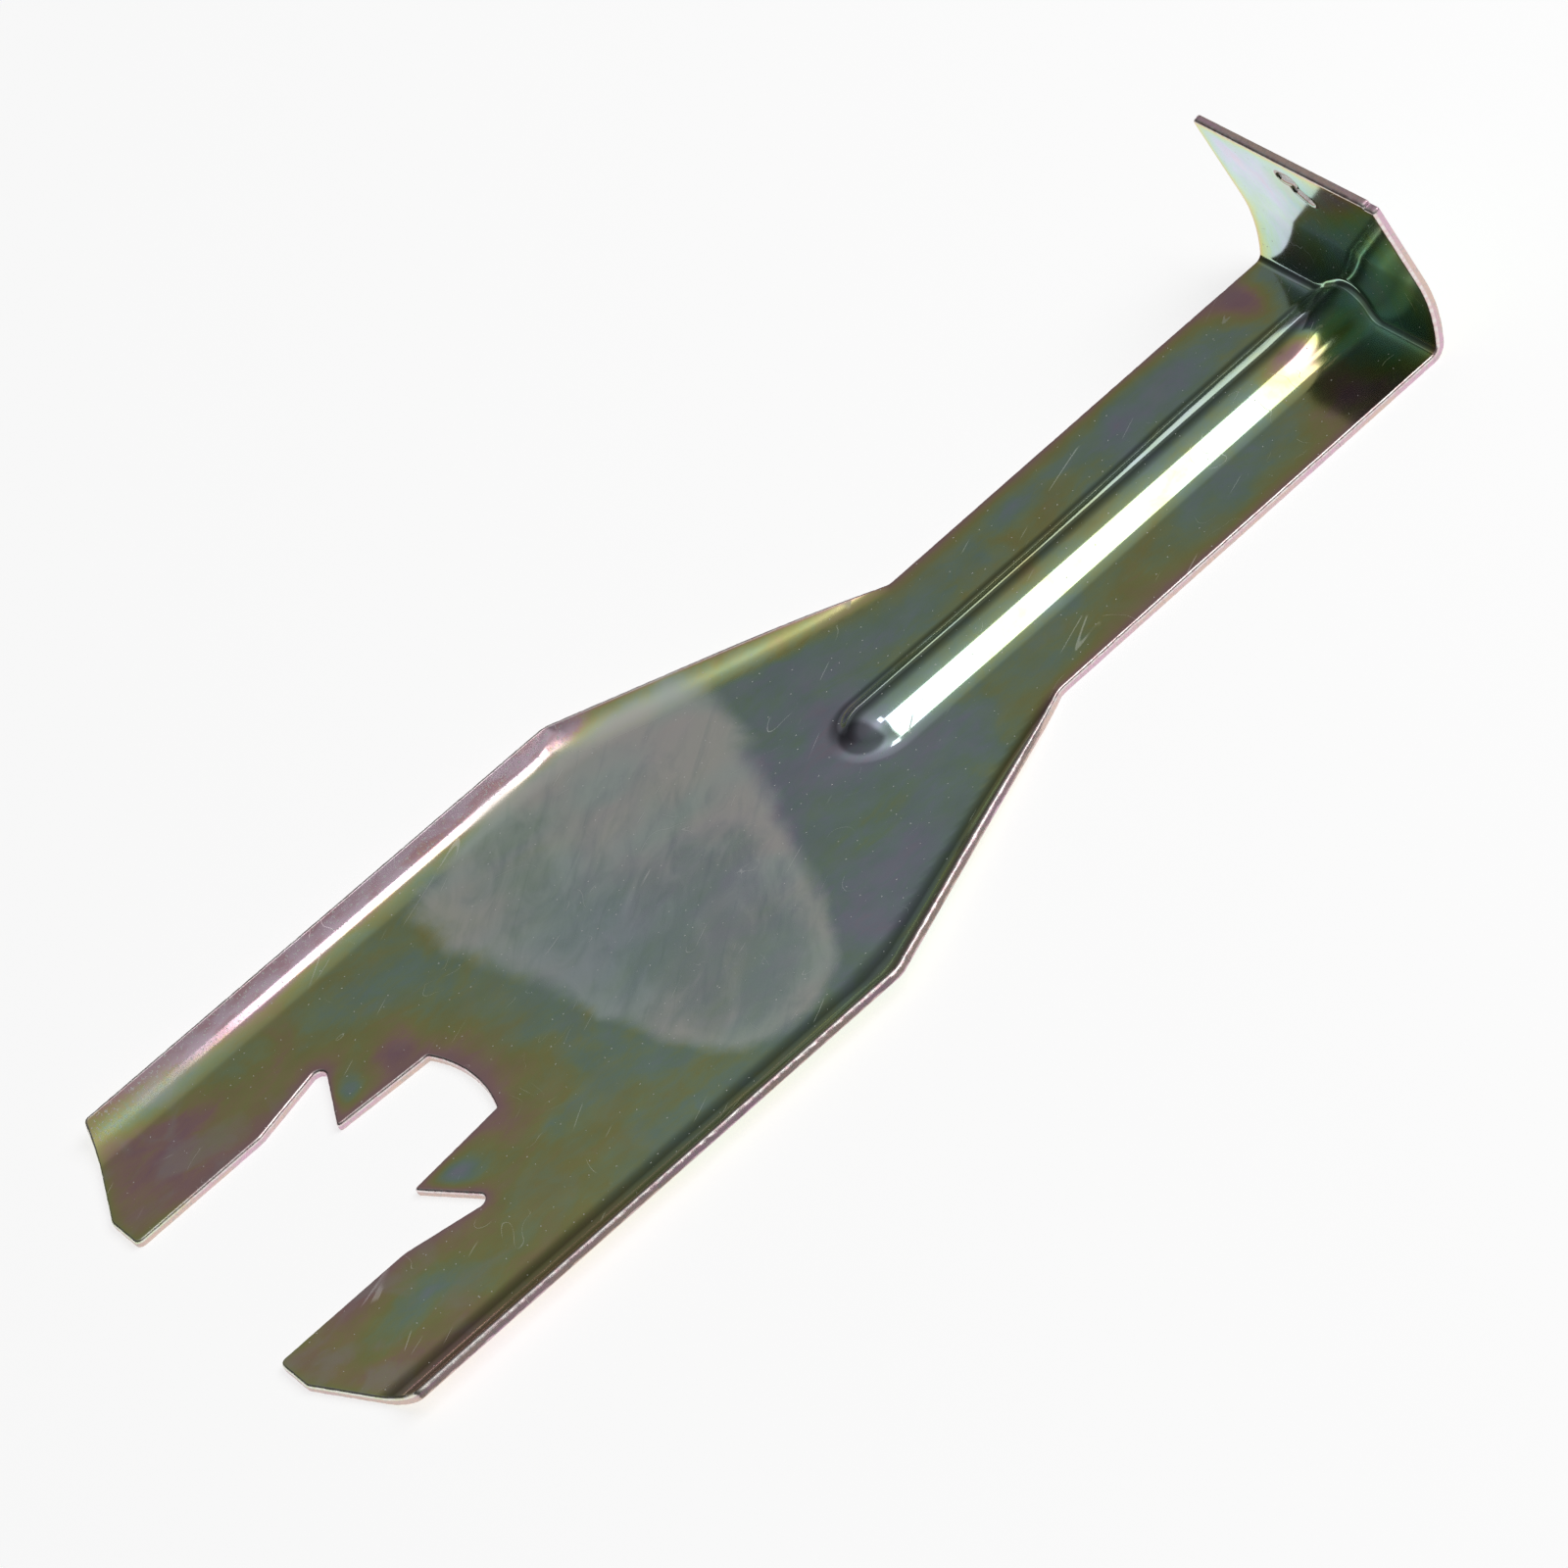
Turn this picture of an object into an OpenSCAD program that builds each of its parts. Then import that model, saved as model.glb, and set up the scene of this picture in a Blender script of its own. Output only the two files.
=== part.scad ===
// Forked clip and trim pry bar, pressed from one piece of sheet steel.
// The fork points along -X, the hook along +X, the width lies along Y and the underside rests on Z = 0.
// The origin is the middle of the bar's footprint.

/* [Sheet] */
// Thickness of the sheet steel
sheet_t = 1.2; // [1:0.1:1.4]
// Length from the fork tips to the back of the hook
overall_l = 196; // [190:1:210]

/* [Blade] */
// Width of the blade over its turned-up side lips
blade_w = 76.2; // [73:0.2:78]
// Distance from the fork tips to the wide corners, where the blade starts to taper
blade_l = 84; // [80:1:90]
// Distance from the fork tips to the neck, where the taper meets the shank
neck_l = 127; // [122:1:132]
// Depth of the slant across each fork tip
tip_slant_l = 7.5; // [5:0.5:10]
// Width of the square nose beside the slot on each fork tip
tip_nose_w = 6; // [4:0.5:8]

/* [Side lips] */
// Angle that the side lips are turned up through
lip_angle = 36; // [30:1:42]
// Inside bend radius of the side lips
lip_r = 9.5; // [8:0.5:10]
// Straight run at the rim of each side lip
lip_flat_l = 1; // [0.4:0.1:1.4]

/* [Fork slot] */
// Width of the slot mouth
mouth_w = 32; // [30:0.5:34]
// Length of the parallel mouth, up to where it flares
mouth_l = 20; // [18:0.5:22]
// Widest opening across the two barb notches
notch_w = 37; // [36:0.5:38]
// Distance from the fork tips to the bottom of the barb notches
notch_l = 31.5; // [30:0.5:33]
// Radius of the notch bottom
notch_r = 1.1; // [0.8:0.1:1.3]
// Gap between the two barb points
barb_gap = 17.2; // [16:0.2:18]
// Distance from the fork tips to the barb points
barb_l = 26.8; // [26:0.2:28]
// Width of the inner slot at its end
inner_w = 15; // [14:0.5:16]
// Distance from the fork tips to the corners of the slot end
inner_l = 41.1; // [40:0.1:43]
// Radius of the bowed slot end
slot_end_r = 19.5; // [16:0.5:24]

/* [Shank and rib] */
// Width of the shank and the hook
shank_w = 35; // [33:0.5:37]
// Distance from the fork tips to the round end of the rib
rib_start_l = 105; // [100:1:110]
// Width of the rib where it leaves the shank's top face
rib_w = 9.6; // [8.6:0.2:12]
// Height of the rib above the shank's top face
rib_h = 2.4; // [2:0.1:3.2]

/* [Hook] */
// Overall height of the hook above the underside
hook_h = 26.5; // [22:0.5:30]
// Inside radius of the sharp bend at the hook's root
hook_bend_r = 1.2; // [1:0.1:2]
// Angle of the sharp bend at the hook's root
hook_bend_angle = 72; // [68:1:76]
// Radius of the gentle curl that follows the sharp bend
hook_curl_r = 21; // [16:1:24]
// Angle between the shank and the straight upper half of the hook
hook_angle = 98.5; // [94:0.5:102]
// Depth of the two punched dimples near the hook's edge
dimple_d = 0.3; // [0.1:0.05:0.4]
// Width of the small step at one corner of the hook's edge
corner_step_w = 1.7; // [1:0.1:2.5]
// Depth of the small step at one corner of the hook's edge
corner_step_d = 0.5; // [0.3:0.1:1]

/* [Hidden] */

plated_steel = [0.45, 0.46, 0.36];

// A cut runs this far past what it cuts, and joined pieces of the sheet share this much of it.
overcut = 1;
sheet_lap = 1;

// Side lip, measured across the bend from the line where the sheet starts to curve.
lip_reach = lip_r * sin(lip_angle) + lip_flat_l * cos(lip_angle);
rim_y = blade_w / 2 - sheet_t * sin(lip_angle);
lip_start_y = rim_y - lip_reach;
lip_steps = 8;

// Taper between the wide corners and the neck, where the lips fade out.
taper_angle = atan((rim_y - shank_w / 2) / (neck_l - blade_l));
taper_inward = -[sin(taper_angle), cos(taper_angle)];
lip_end_w = 2;
taper_steps = 14;

// Plan places on the +Y side: the rim's corners, and the line where the lips start to curve.
wide_corner = [blade_l, rim_y];
neck_corner = [neck_l, shank_w / 2];
bend_corner = [blade_l - lip_reach * tan(taper_angle / 2), lip_start_y];
bend_end = neck_corner + lip_end_w * taper_inward;

// Fork slot.
notch_steps = 8;
notch_centre = [notch_l - notch_r, notch_w / 2 - notch_r];
flare_angle = atan((notch_w - mouth_w) / 2 / (notch_centre[0] - mouth_l));
slot_end_half_angle = asin(inner_w / 2 / slot_end_r);
slot_end_steps = 8;

// Hook, as the path of its inside face from the point where the shank starts to bend.
bend_steps = 12;
curl_steps = 8;
bend_top = hook_bend_r * [sin(hook_bend_angle), 1 - cos(hook_bend_angle)];
curl_centre = bend_top + hook_curl_r * [-sin(hook_bend_angle), cos(hook_bend_angle)];
hook_root_l = overall_l - sheet_t - curl_centre[0] - hook_curl_r;
curl_top = curl_centre + hook_curl_r * [sin(hook_angle), -cos(hook_angle)];
hook_rise = hook_h - sheet_t + sheet_t * cos(hook_angle);
hook_top = curl_top + (hook_rise - curl_top[1]) * [cos(hook_angle) / sin(hook_angle), 1];

// Rib: its crown is part of a cylinder whose axis lies below the shank.
rib_r = (pow(rib_w / 2, 2) + pow(rib_h, 2)) / (2 * rib_h);
rib_axis_z = sheet_t + rib_h - rib_r;
rib_end_l = rib_start_l + rib_w / 2;
rib_root_depth = 0.2;
rib_run_on = bend_top[0] + 0.7;
curve_fn = 96;

// Dimples near the hook's edge.
dimple_r = 2;
dimple_drop = 4.4;
dimple_pitch = 2.9;
dimple_step = 1.1;

// Across the lip at a step from 0 to lip_steps: slope, horizontal run and rise of the top face.
function lip_slope(i) = lip_angle * min(1, i / (lip_steps - 1));
function lip_flat(i) = i == lip_steps ? lip_flat_l : 0;
function lip_run(i) = lip_r * sin(lip_slope(i)) + lip_flat(i) * cos(lip_angle);
function lip_rise(i) = lip_r * (1 - cos(lip_slope(i))) + lip_flat(i) * sin(lip_angle);

// A ring of points around the lip. The lip starts to curve at the plan place start, and run is the
// plan vector from there to its rim. width is its true width, and fade scales its height.
function lip_ring(start, run, width, fade) =
    let (
        inside = start - run * 2 * sheet_lap / width,
        slopes = [
            for (i = [0 : lip_steps])
                atan(tan(lip_slope(i)) * fade * lip_reach / width)
        ],
        top = [
            for (i = [0 : lip_steps])
                let (p = start + run * lip_run(i) / lip_reach)
                [p[0], p[1], sheet_t + lip_rise(i) * fade]
        ],
        under = [
            for (i = [lip_steps : -1 : 0])
                let (shift = run * sheet_t * sin(slopes[i]) / width)
                top[i] + [shift[0], shift[1], -sheet_t * cos(slopes[i])]
        ]
    )
    concat([[inside[0], inside[1], sheet_t]], top, under, [[inside[0], inside[1], 0]]);

// Rings along the taper, from the wide corner (s = 0) to the neck (s = 1).
function taper_fade(s) = (1 - 0.5 * s) * (1 - pow(s, 6));
function taper_ring(s) =
    let (
        start = bend_corner + s * (bend_end - bend_corner),
        rim = wide_corner + s * (neck_corner - wide_corner),
        width = lip_reach + s * (lip_end_w - lip_reach)
    )
    lip_ring(start, rim - start, width, taper_fade(s));

// Half of the plate's outline on the +Y side, from the middle of the slot end round to the hook.
half_outline = concat(
    [
        for (k = [0 : slot_end_steps])
            let (angle = slot_end_half_angle * k / slot_end_steps)
            [inner_l, 0] + slot_end_r * [cos(angle) - cos(slot_end_half_angle), sin(angle)]
    ],
    [[barb_l, barb_gap / 2]],
    [
        for (k = [0 : notch_steps])
            let (angle = -30 + (120 + flare_angle) * k / notch_steps)
            notch_centre + notch_r * [cos(angle), sin(angle)]
    ],
    [
        [mouth_l, mouth_w / 2],
        [0, mouth_w / 2],
        [0, lip_start_y - sheet_lap],
        bend_corner + sheet_lap * taper_inward,
        bend_end + sheet_lap * taper_inward,
        neck_corner + [2 * sheet_lap, 0],
        [hook_root_l, shank_w / 2]
    ]
);

function mirrored(points) = [for (k = [len(points) - 1 : -1 : 0]) [points[k][0], -points[k][1]]];

module plate() {
    linear_extrude(sheet_t)
        polygon(concat(half_outline, mirrored(half_outline)));
}

// Closed solid through rings of points. Each ring runs out along one face and back along the other,
// so its two ends are closed by strips between the faces.
module skin(rings) {
    count = len(rings[0]);
    last = (len(rings) - 1) * count;
    function strip(j) = [j, j + 1, count - 2 - j, count - 1 - j];
    function backwards(face) = [for (k = [len(face) - 1 : -1 : 0]) face[k]];
    polyhedron(
        [for (ring = rings) each ring],
        concat(
            [for (j = [0 : count / 2 - 2]) backwards(strip(j))],
            [for (j = [0 : count / 2 - 2]) [for (corner = strip(j)) last + corner]],
            [
                for (k = [0 : len(rings) - 2], j = [0 : count - 1])
                    let (a = k * count + j, b = k * count + (j + 1) % count)
                    each [[a, b, a + count], [b, b + count, a + count]]
            ]
        )
    );
}

// Turned-up lip along the blade and the taper, on the +Y side.
module side_lip() {
    skin(concat(
        [lip_ring([overcut, lip_start_y], [0, lip_reach], lip_reach, 1)],
        [for (k = [0 : taper_steps]) taper_ring(k / taper_steps)],
        [lip_ring([neck_l + 3 * sheet_lap, shank_w / 2 - lip_end_w], [0, lip_end_w], lip_end_w, 0)]
    ));
}

// Wedge that slants one fork tip back from its nose to its outer corner.
module tip_wedge() {
    nose_y = mouth_w / 2 + tip_nose_w;
    slope = tip_slant_l / (blade_w / 2 - nose_y);
    reach = blade_w / 2 + overcut - nose_y;
    translate([0, 0, -overcut])
        linear_extrude(hook_h)
            polygon([
                [-overcut, nose_y],
                [0, nose_y],
                [slope * reach, nose_y + reach],
                [-overcut, nose_y + reach]
            ]);
}

// One point of the hook's profile: on the inside face, or set off by the sheet's thickness.
function hook_point(centre, r, angle, offset) = centre + (r + offset) * [sin(angle), -cos(angle)];
function hook_face(offset) = concat(
    [[-2 * sheet_lap, -offset]],
    [
        for (k = [0 : bend_steps - 1])
            hook_point([0, hook_bend_r], hook_bend_r, hook_bend_angle * k / bend_steps, offset)
    ],
    [
        for (k = [0 : curl_steps])
            let (angle = hook_bend_angle + (hook_angle - hook_bend_angle) * k / curl_steps)
            hook_point(curl_centre, hook_curl_r, angle, offset)
    ],
    [hook_top + offset * [sin(hook_angle), -cos(hook_angle)]]
);

module hook() {
    inside = hook_face(0);
    outside = hook_face(sheet_t);
    translate([hook_root_l, shank_w / 2, sheet_t])
        rotate([90, 0, 0])
            linear_extrude(shank_w)
                polygon(concat(inside, [for (k = [len(outside) - 1 : -1 : 0]) outside[k]]));
}

// The rib's crown or, with a smaller radius, the hollow beneath it, between two heights.
module rib_form(radius, end_l, bottom_z) {
    intersection() {
        translate([rib_end_l, 0, rib_axis_z]) {
            rotate([0, 90, 0])
                cylinder(r = radius, h = end_l - rib_end_l, $fn = curve_fn);
            sphere(radius, $fn = curve_fn);
        }
        translate([0, -shank_w / 2, bottom_z])
            cube([end_l, shank_w, hook_h]);
    }
}

module dimples() {
    for (k = [-1, 1])
        translate([hook_root_l + hook_top[0], k * dimple_pitch / 2, sheet_t + hook_top[1]])
            rotate([0, 90 - hook_angle, 0])
                translate([dimple_d - dimple_r, 0, k * dimple_step / 2 - dimple_drop])
                    sphere(dimple_r, $fn = curve_fn);
}

// Small step at the -Y corner of the hook's edge.
module corner_step() {
    translate([hook_root_l - hook_h / 2, -shank_w / 2 - overcut, hook_h - corner_step_d])
        cube([hook_h, corner_step_w + overcut, hook_h]);
}

module pressed_steel_body() {
    color(plated_steel)
        translate([-overall_l / 2, 0, 0])
            difference() {
                union() {
                    plate();
                    for (side = [0, 1])
                        mirror([0, side, 0])
                            side_lip();
                    hook();
                    rib_form(rib_r, hook_root_l + rib_run_on, sheet_t - rib_root_depth);
                }
                for (side = [0, 1])
                    mirror([0, side, 0])
                        tip_wedge();
                rib_form(rib_r - sheet_t, overall_l + overcut, -overcut);
                dimples();
                corner_step();
            }
}

pressed_steel_body();
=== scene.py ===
import math

import bpy
import numpy as np
from mathutils import Matrix, Vector, kdtree
from mathutils.geometry import delaunay_2d_cdt


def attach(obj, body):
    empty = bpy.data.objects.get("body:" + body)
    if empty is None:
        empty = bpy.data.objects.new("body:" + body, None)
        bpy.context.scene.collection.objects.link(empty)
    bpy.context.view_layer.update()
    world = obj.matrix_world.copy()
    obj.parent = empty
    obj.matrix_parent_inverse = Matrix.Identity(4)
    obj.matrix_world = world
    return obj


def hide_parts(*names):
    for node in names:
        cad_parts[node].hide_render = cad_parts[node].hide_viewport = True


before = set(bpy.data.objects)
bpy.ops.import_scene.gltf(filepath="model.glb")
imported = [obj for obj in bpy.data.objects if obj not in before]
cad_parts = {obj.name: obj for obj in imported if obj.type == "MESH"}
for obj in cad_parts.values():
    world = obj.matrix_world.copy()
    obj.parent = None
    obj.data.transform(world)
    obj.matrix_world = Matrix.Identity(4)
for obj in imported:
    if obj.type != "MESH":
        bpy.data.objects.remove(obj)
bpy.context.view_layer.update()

MM = 0.001
NODE = "pressed_steel_body"

# ---------------------------------------------------------------------------------------------
# The bar's dimensions, the same as in the CAD, in millimetres and degrees. Lengths along the bar
# run from the fork tips (u), widths from its middle (v), and heights from the underside.
# ---------------------------------------------------------------------------------------------
SHEET_T = 1.2
OVERALL_L = 196.0
BLADE_L, NECK_L = 84.0, 127.0
TIP_SLANT_L, TIP_NOSE_W = 7.5, 6.0
LIP_ANGLE, LIP_R, LIP_FLAT = math.radians(36), 9.5, 1.0
BLADE_HALF_W = 37.7
RIM_V = BLADE_HALF_W - SHEET_T * math.sin(LIP_ANGLE)
WIDER_TINE = 0.4                         # one tine is wider than the other
LIP_REACH = LIP_R * math.sin(LIP_ANGLE) + LIP_FLAT * math.cos(LIP_ANGLE)
LIP_END_W = 2.0
MOUTH_W, MOUTH_L = 32.0, 20.0
NOTCH_W, NOTCH_L, NOTCH_R = 37.0, 31.5, 1.1
BARB_GAP, BARB_L = 17.2, 26.8
INNER_W, INNER_L, SLOT_END_R = 15.0, 41.1, 19.5
SHANK_W = 35.0
RIB_START_L, RIB_H = 103.2, 2.4
RIB_CROWN_R, RIB_FOOT_R = 6.2, 4.3
SHOULDER_ANGLE, SHOULDER_W = math.radians(23.7), 1.9
RIB_SHIFT = -0.55                        # the rib lies a little to one side
RIB_NOSE = 0.95                          # below 1, the rib's start is longer than round
FOOT_UNEVEN = 0.35                       # how much the rib's foot varies along one side
RIB_SWELL = 0.17                         # how much higher the rib is where it meets the bend
HOOK_H, HOOK_BEND_R, HOOK_CURL_R = 26.5, 1.2, 21.0
HOOK_BEND_ANGLE, HOOK_ANGLE = math.radians(72), math.radians(98.5)
STEP_W, STEP_D = 1.7, 0.5
END_MARGIN = 0.012                       # keeps the curl inside the overall length

# Small things that a press and a shear leave behind.
YAW_SLOPE = 0.0116                       # the shank leans a little to one side of the blade
BARB_SKEW = (0.35, 0.3)                  # one barb is longer and closer to the middle
TOP_EDGE_R, UNDER_EDGE_R = 0.34, 0.12    # rolled-over edge and burr side of the shear cut
BURR = 0.035
SLIVER_AREA = 1e-4                       # smaller triangles come only from points in a straight line

SEED = 7
OUTLINE_STEP = 0.4                       # distance between points along the edge
EDGE_CLEARANCE = 0.24                    # distance from the rolled edge to the nearest grid point


# ---------------------------------------------------------------------------------------------
# The sheet: where each place (u, v) of the blank's top face ends up.
# ---------------------------------------------------------------------------------------------
def smooth(x, low, high):
    """0 below low, 1 above high, and a smooth rise between them."""
    t = np.clip((x - low) / (high - low), 0, 1)
    return t * t * (3 - 2 * t)


def rib_height(r, foot_r, shoulder):
    """Height of the rib at a distance r from its spine: round crown, sloping shoulder, round foot."""
    along = np.clip(r - RIB_CROWN_R * math.sin(SHOULDER_ANGLE), 0, shoulder)
    r = r - along
    height = RIB_H - shoulder * math.tan(SHOULDER_ANGLE)
    both = RIB_CROWN_R + foot_r
    flank = np.arccos(1 - height / both)
    crown_edge, foot_edge = RIB_CROWN_R * np.sin(flank), both * np.sin(flank)
    crown = height - RIB_CROWN_R + np.sqrt(np.maximum(RIB_CROWN_R**2 - r**2, 1))
    foot = foot_r - np.sqrt(np.maximum(foot_r**2 - (foot_edge - r) ** 2, 0))
    round_height = np.where(r < crown_edge, crown, np.where(r < foot_edge, foot, 0.0))
    return round_height + (shoulder - along) * math.tan(SHOULDER_ANGLE)


def rib_at(u, v):
    """Height of the rib above the flat sheet, with its rounded start."""
    reach = (RIB_CROWN_R + RIB_FOOT_R) * math.sin(math.acos(1 - RIB_H / (RIB_CROWN_R + RIB_FOOT_R)))
    before = RIB_NOSE * np.maximum(RIB_START_L + reach / RIB_NOSE - u, 0)
    v = v - RIB_SHIFT
    shoulder = np.where(v > 0, SHOULDER_W * smooth(u, 138, 180), 0)
    uneven = np.where(v > 0, FOOT_UNEVEN * np.sin(0.31 * u) * np.sin(0.12 * u + 1), 0) * smooth(u, 112, 120)
    swell = 1 + RIB_SWELL * smooth(u, 181.5, 188.5)
    return swell * rib_height(np.hypot(before, v), RIB_FOOT_R + uneven, shoulder)


LIP_BLEND = 3.5                          # how softly the straight lip turns into the tapered one
LIP_FADE = 0.62                          # how much of the lip is gone before it ends
TAPER = math.atan((RIM_V - SHANK_W / 2) / (NECK_L - BLADE_L))
TAPER_LEN = math.hypot(RIM_V - SHANK_W / 2, NECK_L - BLADE_L)


def lip_at(u, v):
    """Height of the turned-up side lips above the flat sheet."""
    side = RIM_V + np.where(v < 0, WIDER_TINE, 0) - np.abs(v)
    slant = (BLADE_L - u) * math.sin(TAPER) + side * math.cos(TAPER)
    near = np.minimum(side, slant)
    blend = LIP_BLEND * np.clip(near / LIP_REACH, 0, 1) + 1e-6
    overlap = np.maximum(blend - np.abs(side - slant), 0) / blend
    inset = near - overlap**2 * blend / 4
    along = (u - BLADE_L) * math.cos(TAPER) + (np.abs(v) - RIM_V) * -math.sin(TAPER)
    s = np.clip(along / TAPER_LEN, 0, 1)
    fade = (1 - LIP_FADE * s) * (1 - s**6)
    width = LIP_REACH + s * (LIP_END_W - LIP_REACH)
    run = np.clip(1 - inset / width, 0, 1.2) * LIP_REACH
    arc_run = LIP_R * math.sin(LIP_ANGLE)
    arc = LIP_R - np.sqrt(LIP_R**2 - np.minimum(run, arc_run) ** 2)
    return fade * (arc + np.maximum(run - arc_run, 0) * math.tan(LIP_ANGLE))


# The hook's profile, from the place where the shank starts to bend and from the top face there.
BEND_TOP = HOOK_BEND_R * np.array([math.sin(HOOK_BEND_ANGLE), 1 - math.cos(HOOK_BEND_ANGLE)])
CURL_CENTRE = BEND_TOP + HOOK_CURL_R * np.array([-math.sin(HOOK_BEND_ANGLE), math.cos(HOOK_BEND_ANGLE)])
HOOK_ROOT_L = OVERALL_L - END_MARGIN - SHEET_T - CURL_CENTRE[0] - HOOK_CURL_R
CURL_TOP = CURL_CENTRE + HOOK_CURL_R * np.array([math.sin(HOOK_ANGLE), -math.cos(HOOK_ANGLE)])
HOOK_RISE = HOOK_H - SHEET_T + SHEET_T * math.cos(HOOK_ANGLE)
STRAIGHT = (HOOK_RISE - CURL_TOP[1]) / math.sin(HOOK_ANGLE)
HOOK_FROM_L = 182.0


def hook_lengths(base):
    """Where the bend's centre lies, the angle where it ends, and the lengths of the shank, bend and curl."""
    lean = np.sqrt((HOOK_CURL_R - HOOK_BEND_R) ** 2 - (base + HOOK_BEND_R - CURL_CENTRE[1]) ** 2)
    centre = CURL_CENTRE[0] + lean
    turn = np.arctan2(lean, CURL_CENTRE[1] - base - HOOK_BEND_R)
    flat = HOOK_ROOT_L + centre - HOOK_FROM_L
    return centre, turn, flat, HOOK_BEND_R * turn, HOOK_CURL_R * (HOOK_ANGLE - turn)


def hook_total(base):
    _, _, flat, bend, curl = hook_lengths(base)
    return flat + bend + curl + STRAIGHT


HOOK_TOTAL = float(hook_total(np.float64(0)))
SHEET_END = HOOK_FROM_L + HOOK_TOTAL


def hook_place(u, base):
    """Place (along the bar, above the top face) for blank length u, where the shank is raised by base.

    The path runs along the shank, round the bend, up the curl and straight to the end.
    """
    centre, turn, flat, bend, curl = hook_lengths(base)
    s = np.maximum(u - HOOK_FROM_L, 0) * hook_total(base) / HOOK_TOTAL
    s1, s2, s3 = s - flat, s - flat - bend, s - flat - bend - curl
    a = np.clip(s1 / HOOK_BEND_R, 0, turn)
    x = HOOK_ROOT_L + centre + HOOK_BEND_R * np.sin(a) + np.minimum(s1, 0)
    z = base + HOOK_BEND_R * (1 - np.cos(a))
    b = turn + np.clip(s2 / HOOK_CURL_R, 0, HOOK_ANGLE - turn)
    on_curl = s2 > 0
    x = np.where(on_curl, HOOK_ROOT_L + CURL_CENTRE[0] + HOOK_CURL_R * np.sin(b), x)
    z = np.where(on_curl, CURL_CENTRE[1] - HOOK_CURL_R * np.cos(b), z)
    last = np.maximum(s3, 0)
    return x + last * math.cos(HOOK_ANGLE), z + last * math.sin(HOOK_ANGLE)


def formed(u, v):
    """Top face of the sheet after pressing and bending, without its small waves and dents."""
    rib = rib_at(u, v)
    on_hook = u > HOOK_FROM_L
    hook_x, hook_z = hook_place(u, rib)
    x = np.where(on_hook, hook_x, u)
    z = SHEET_T + np.where(on_hook, hook_z, rib + np.where(u < NECK_L, lip_at(u, v), 0))
    y = v + YAW_SLOPE * np.maximum(u - NECK_L, 0)
    return np.stack([x - OVERALL_L / 2, y, z], -1)


random = np.random.default_rng(SEED)
WAVE_HEIGHT = 0.0011
WAVES = [
    (random.uniform(0.08, 0.3), random.uniform(0, 2 * math.pi), random.uniform(0, 2 * math.pi))
    for _ in range(10)
]


def waves(u, v):
    """Slight unevenness of rolled and pressed sheet, up to a few hundredths of a millimetre."""
    total = 0
    for pitch, heading, phase in WAVES:
        total = total + np.sin(pitch * (u * math.cos(heading) + v * math.sin(heading)) + phase) / pitch
    return WAVE_HEIGHT * total


# Two small punch marks near the hook's edge: start and end of each, across and down from the edge.
PUNCHES = (((1.7, 3.6), (0.2, 3.5)), ((-0.3, 5.4), (-1.7, 6.5)))
PUNCH_DEPTH, PUNCH_R = 0.3, 0.92
PUSHED_UP, PUSHED_UP_R, PUSHED_UP_W = 0.07, 1.25, 0.25


def dents(u, v):
    """Depth of the two punch marks."""
    depth = 0
    for (v0, d0), (v1, d1) in PUNCHES:
        a = np.array([SHEET_END - d0, v0])
        along = np.array([SHEET_END - d1, v1]) - a
        t = np.clip(((u - a[0]) * along[0] + (v - a[1]) * along[1]) / (along @ along), 0, 1)
        r = np.hypot(u - a[0] - t * along[0], v - a[1] - t * along[1])
        depth = depth + PUNCH_DEPTH * np.exp(-((r / PUNCH_R) ** 4))
        depth = depth - PUSHED_UP * np.exp(-(((r - PUSHED_UP_R) / PUSHED_UP_W) ** 2))
    return depth


def unit(vectors):
    return vectors / np.linalg.norm(vectors, axis=-1, keepdims=True)


def slopes(shape, u, v, step=0.01):
    """Directions of a shape along u and along v, and its normal."""
    du = unit(shape(u + step, v) - shape(u - step, v))
    dv = unit(shape(u, v + step) - shape(u, v - step))
    return du, dv, unit(np.cross(du, dv))


def top_face(u, v):
    """Top face with its waves and dents."""
    normal = slopes(formed, u, v)[2]
    return formed(u, v) + normal * (waves(u, v) - dents(u, v))[..., None]


# ---------------------------------------------------------------------------------------------
# The blank's outline.
# ---------------------------------------------------------------------------------------------
def rounded(corners, spacing):
    """Closed outline through (u, v, radius) corners, with arcs at the corners and even spacing."""
    points = []
    count = len(corners)
    for i, (u, v, radius) in enumerate(corners):
        here = np.array([u, v])
        back = np.array(corners[i - 1][:2]) - here
        on = np.array(corners[(i + 1) % count][:2]) - here
        back, on = back / np.linalg.norm(back), on / np.linalg.norm(on)
        half = math.acos(np.clip(back @ on, -1, 1)) / 2
        if radius < 0.01 or half > 1.55:
            points.append(here)
            continue
        centre = here + (back + on) / np.linalg.norm(back + on) * radius / math.sin(half)
        start = here + back * radius / math.tan(half) - centre
        turn = math.pi - 2 * half
        sign = 1 if back[0] * on[1] - back[1] * on[0] < 0 else -1
        steps = max(2, math.ceil(turn * radius / spacing))
        for k in range(steps + 1):
            a = sign * turn * k / steps
            points.append(centre + np.array([
                start[0] * math.cos(a) - start[1] * math.sin(a),
                start[0] * math.sin(a) + start[1] * math.cos(a)]))
    loop = []
    for i, p in enumerate(points):
        q = points[(i + 1) % len(points)]
        steps = max(1, round(float(np.linalg.norm(q - p)) / spacing))
        loop += [p + (q - p) * k / steps for k in range(steps)]
    return np.array(loop)


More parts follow.
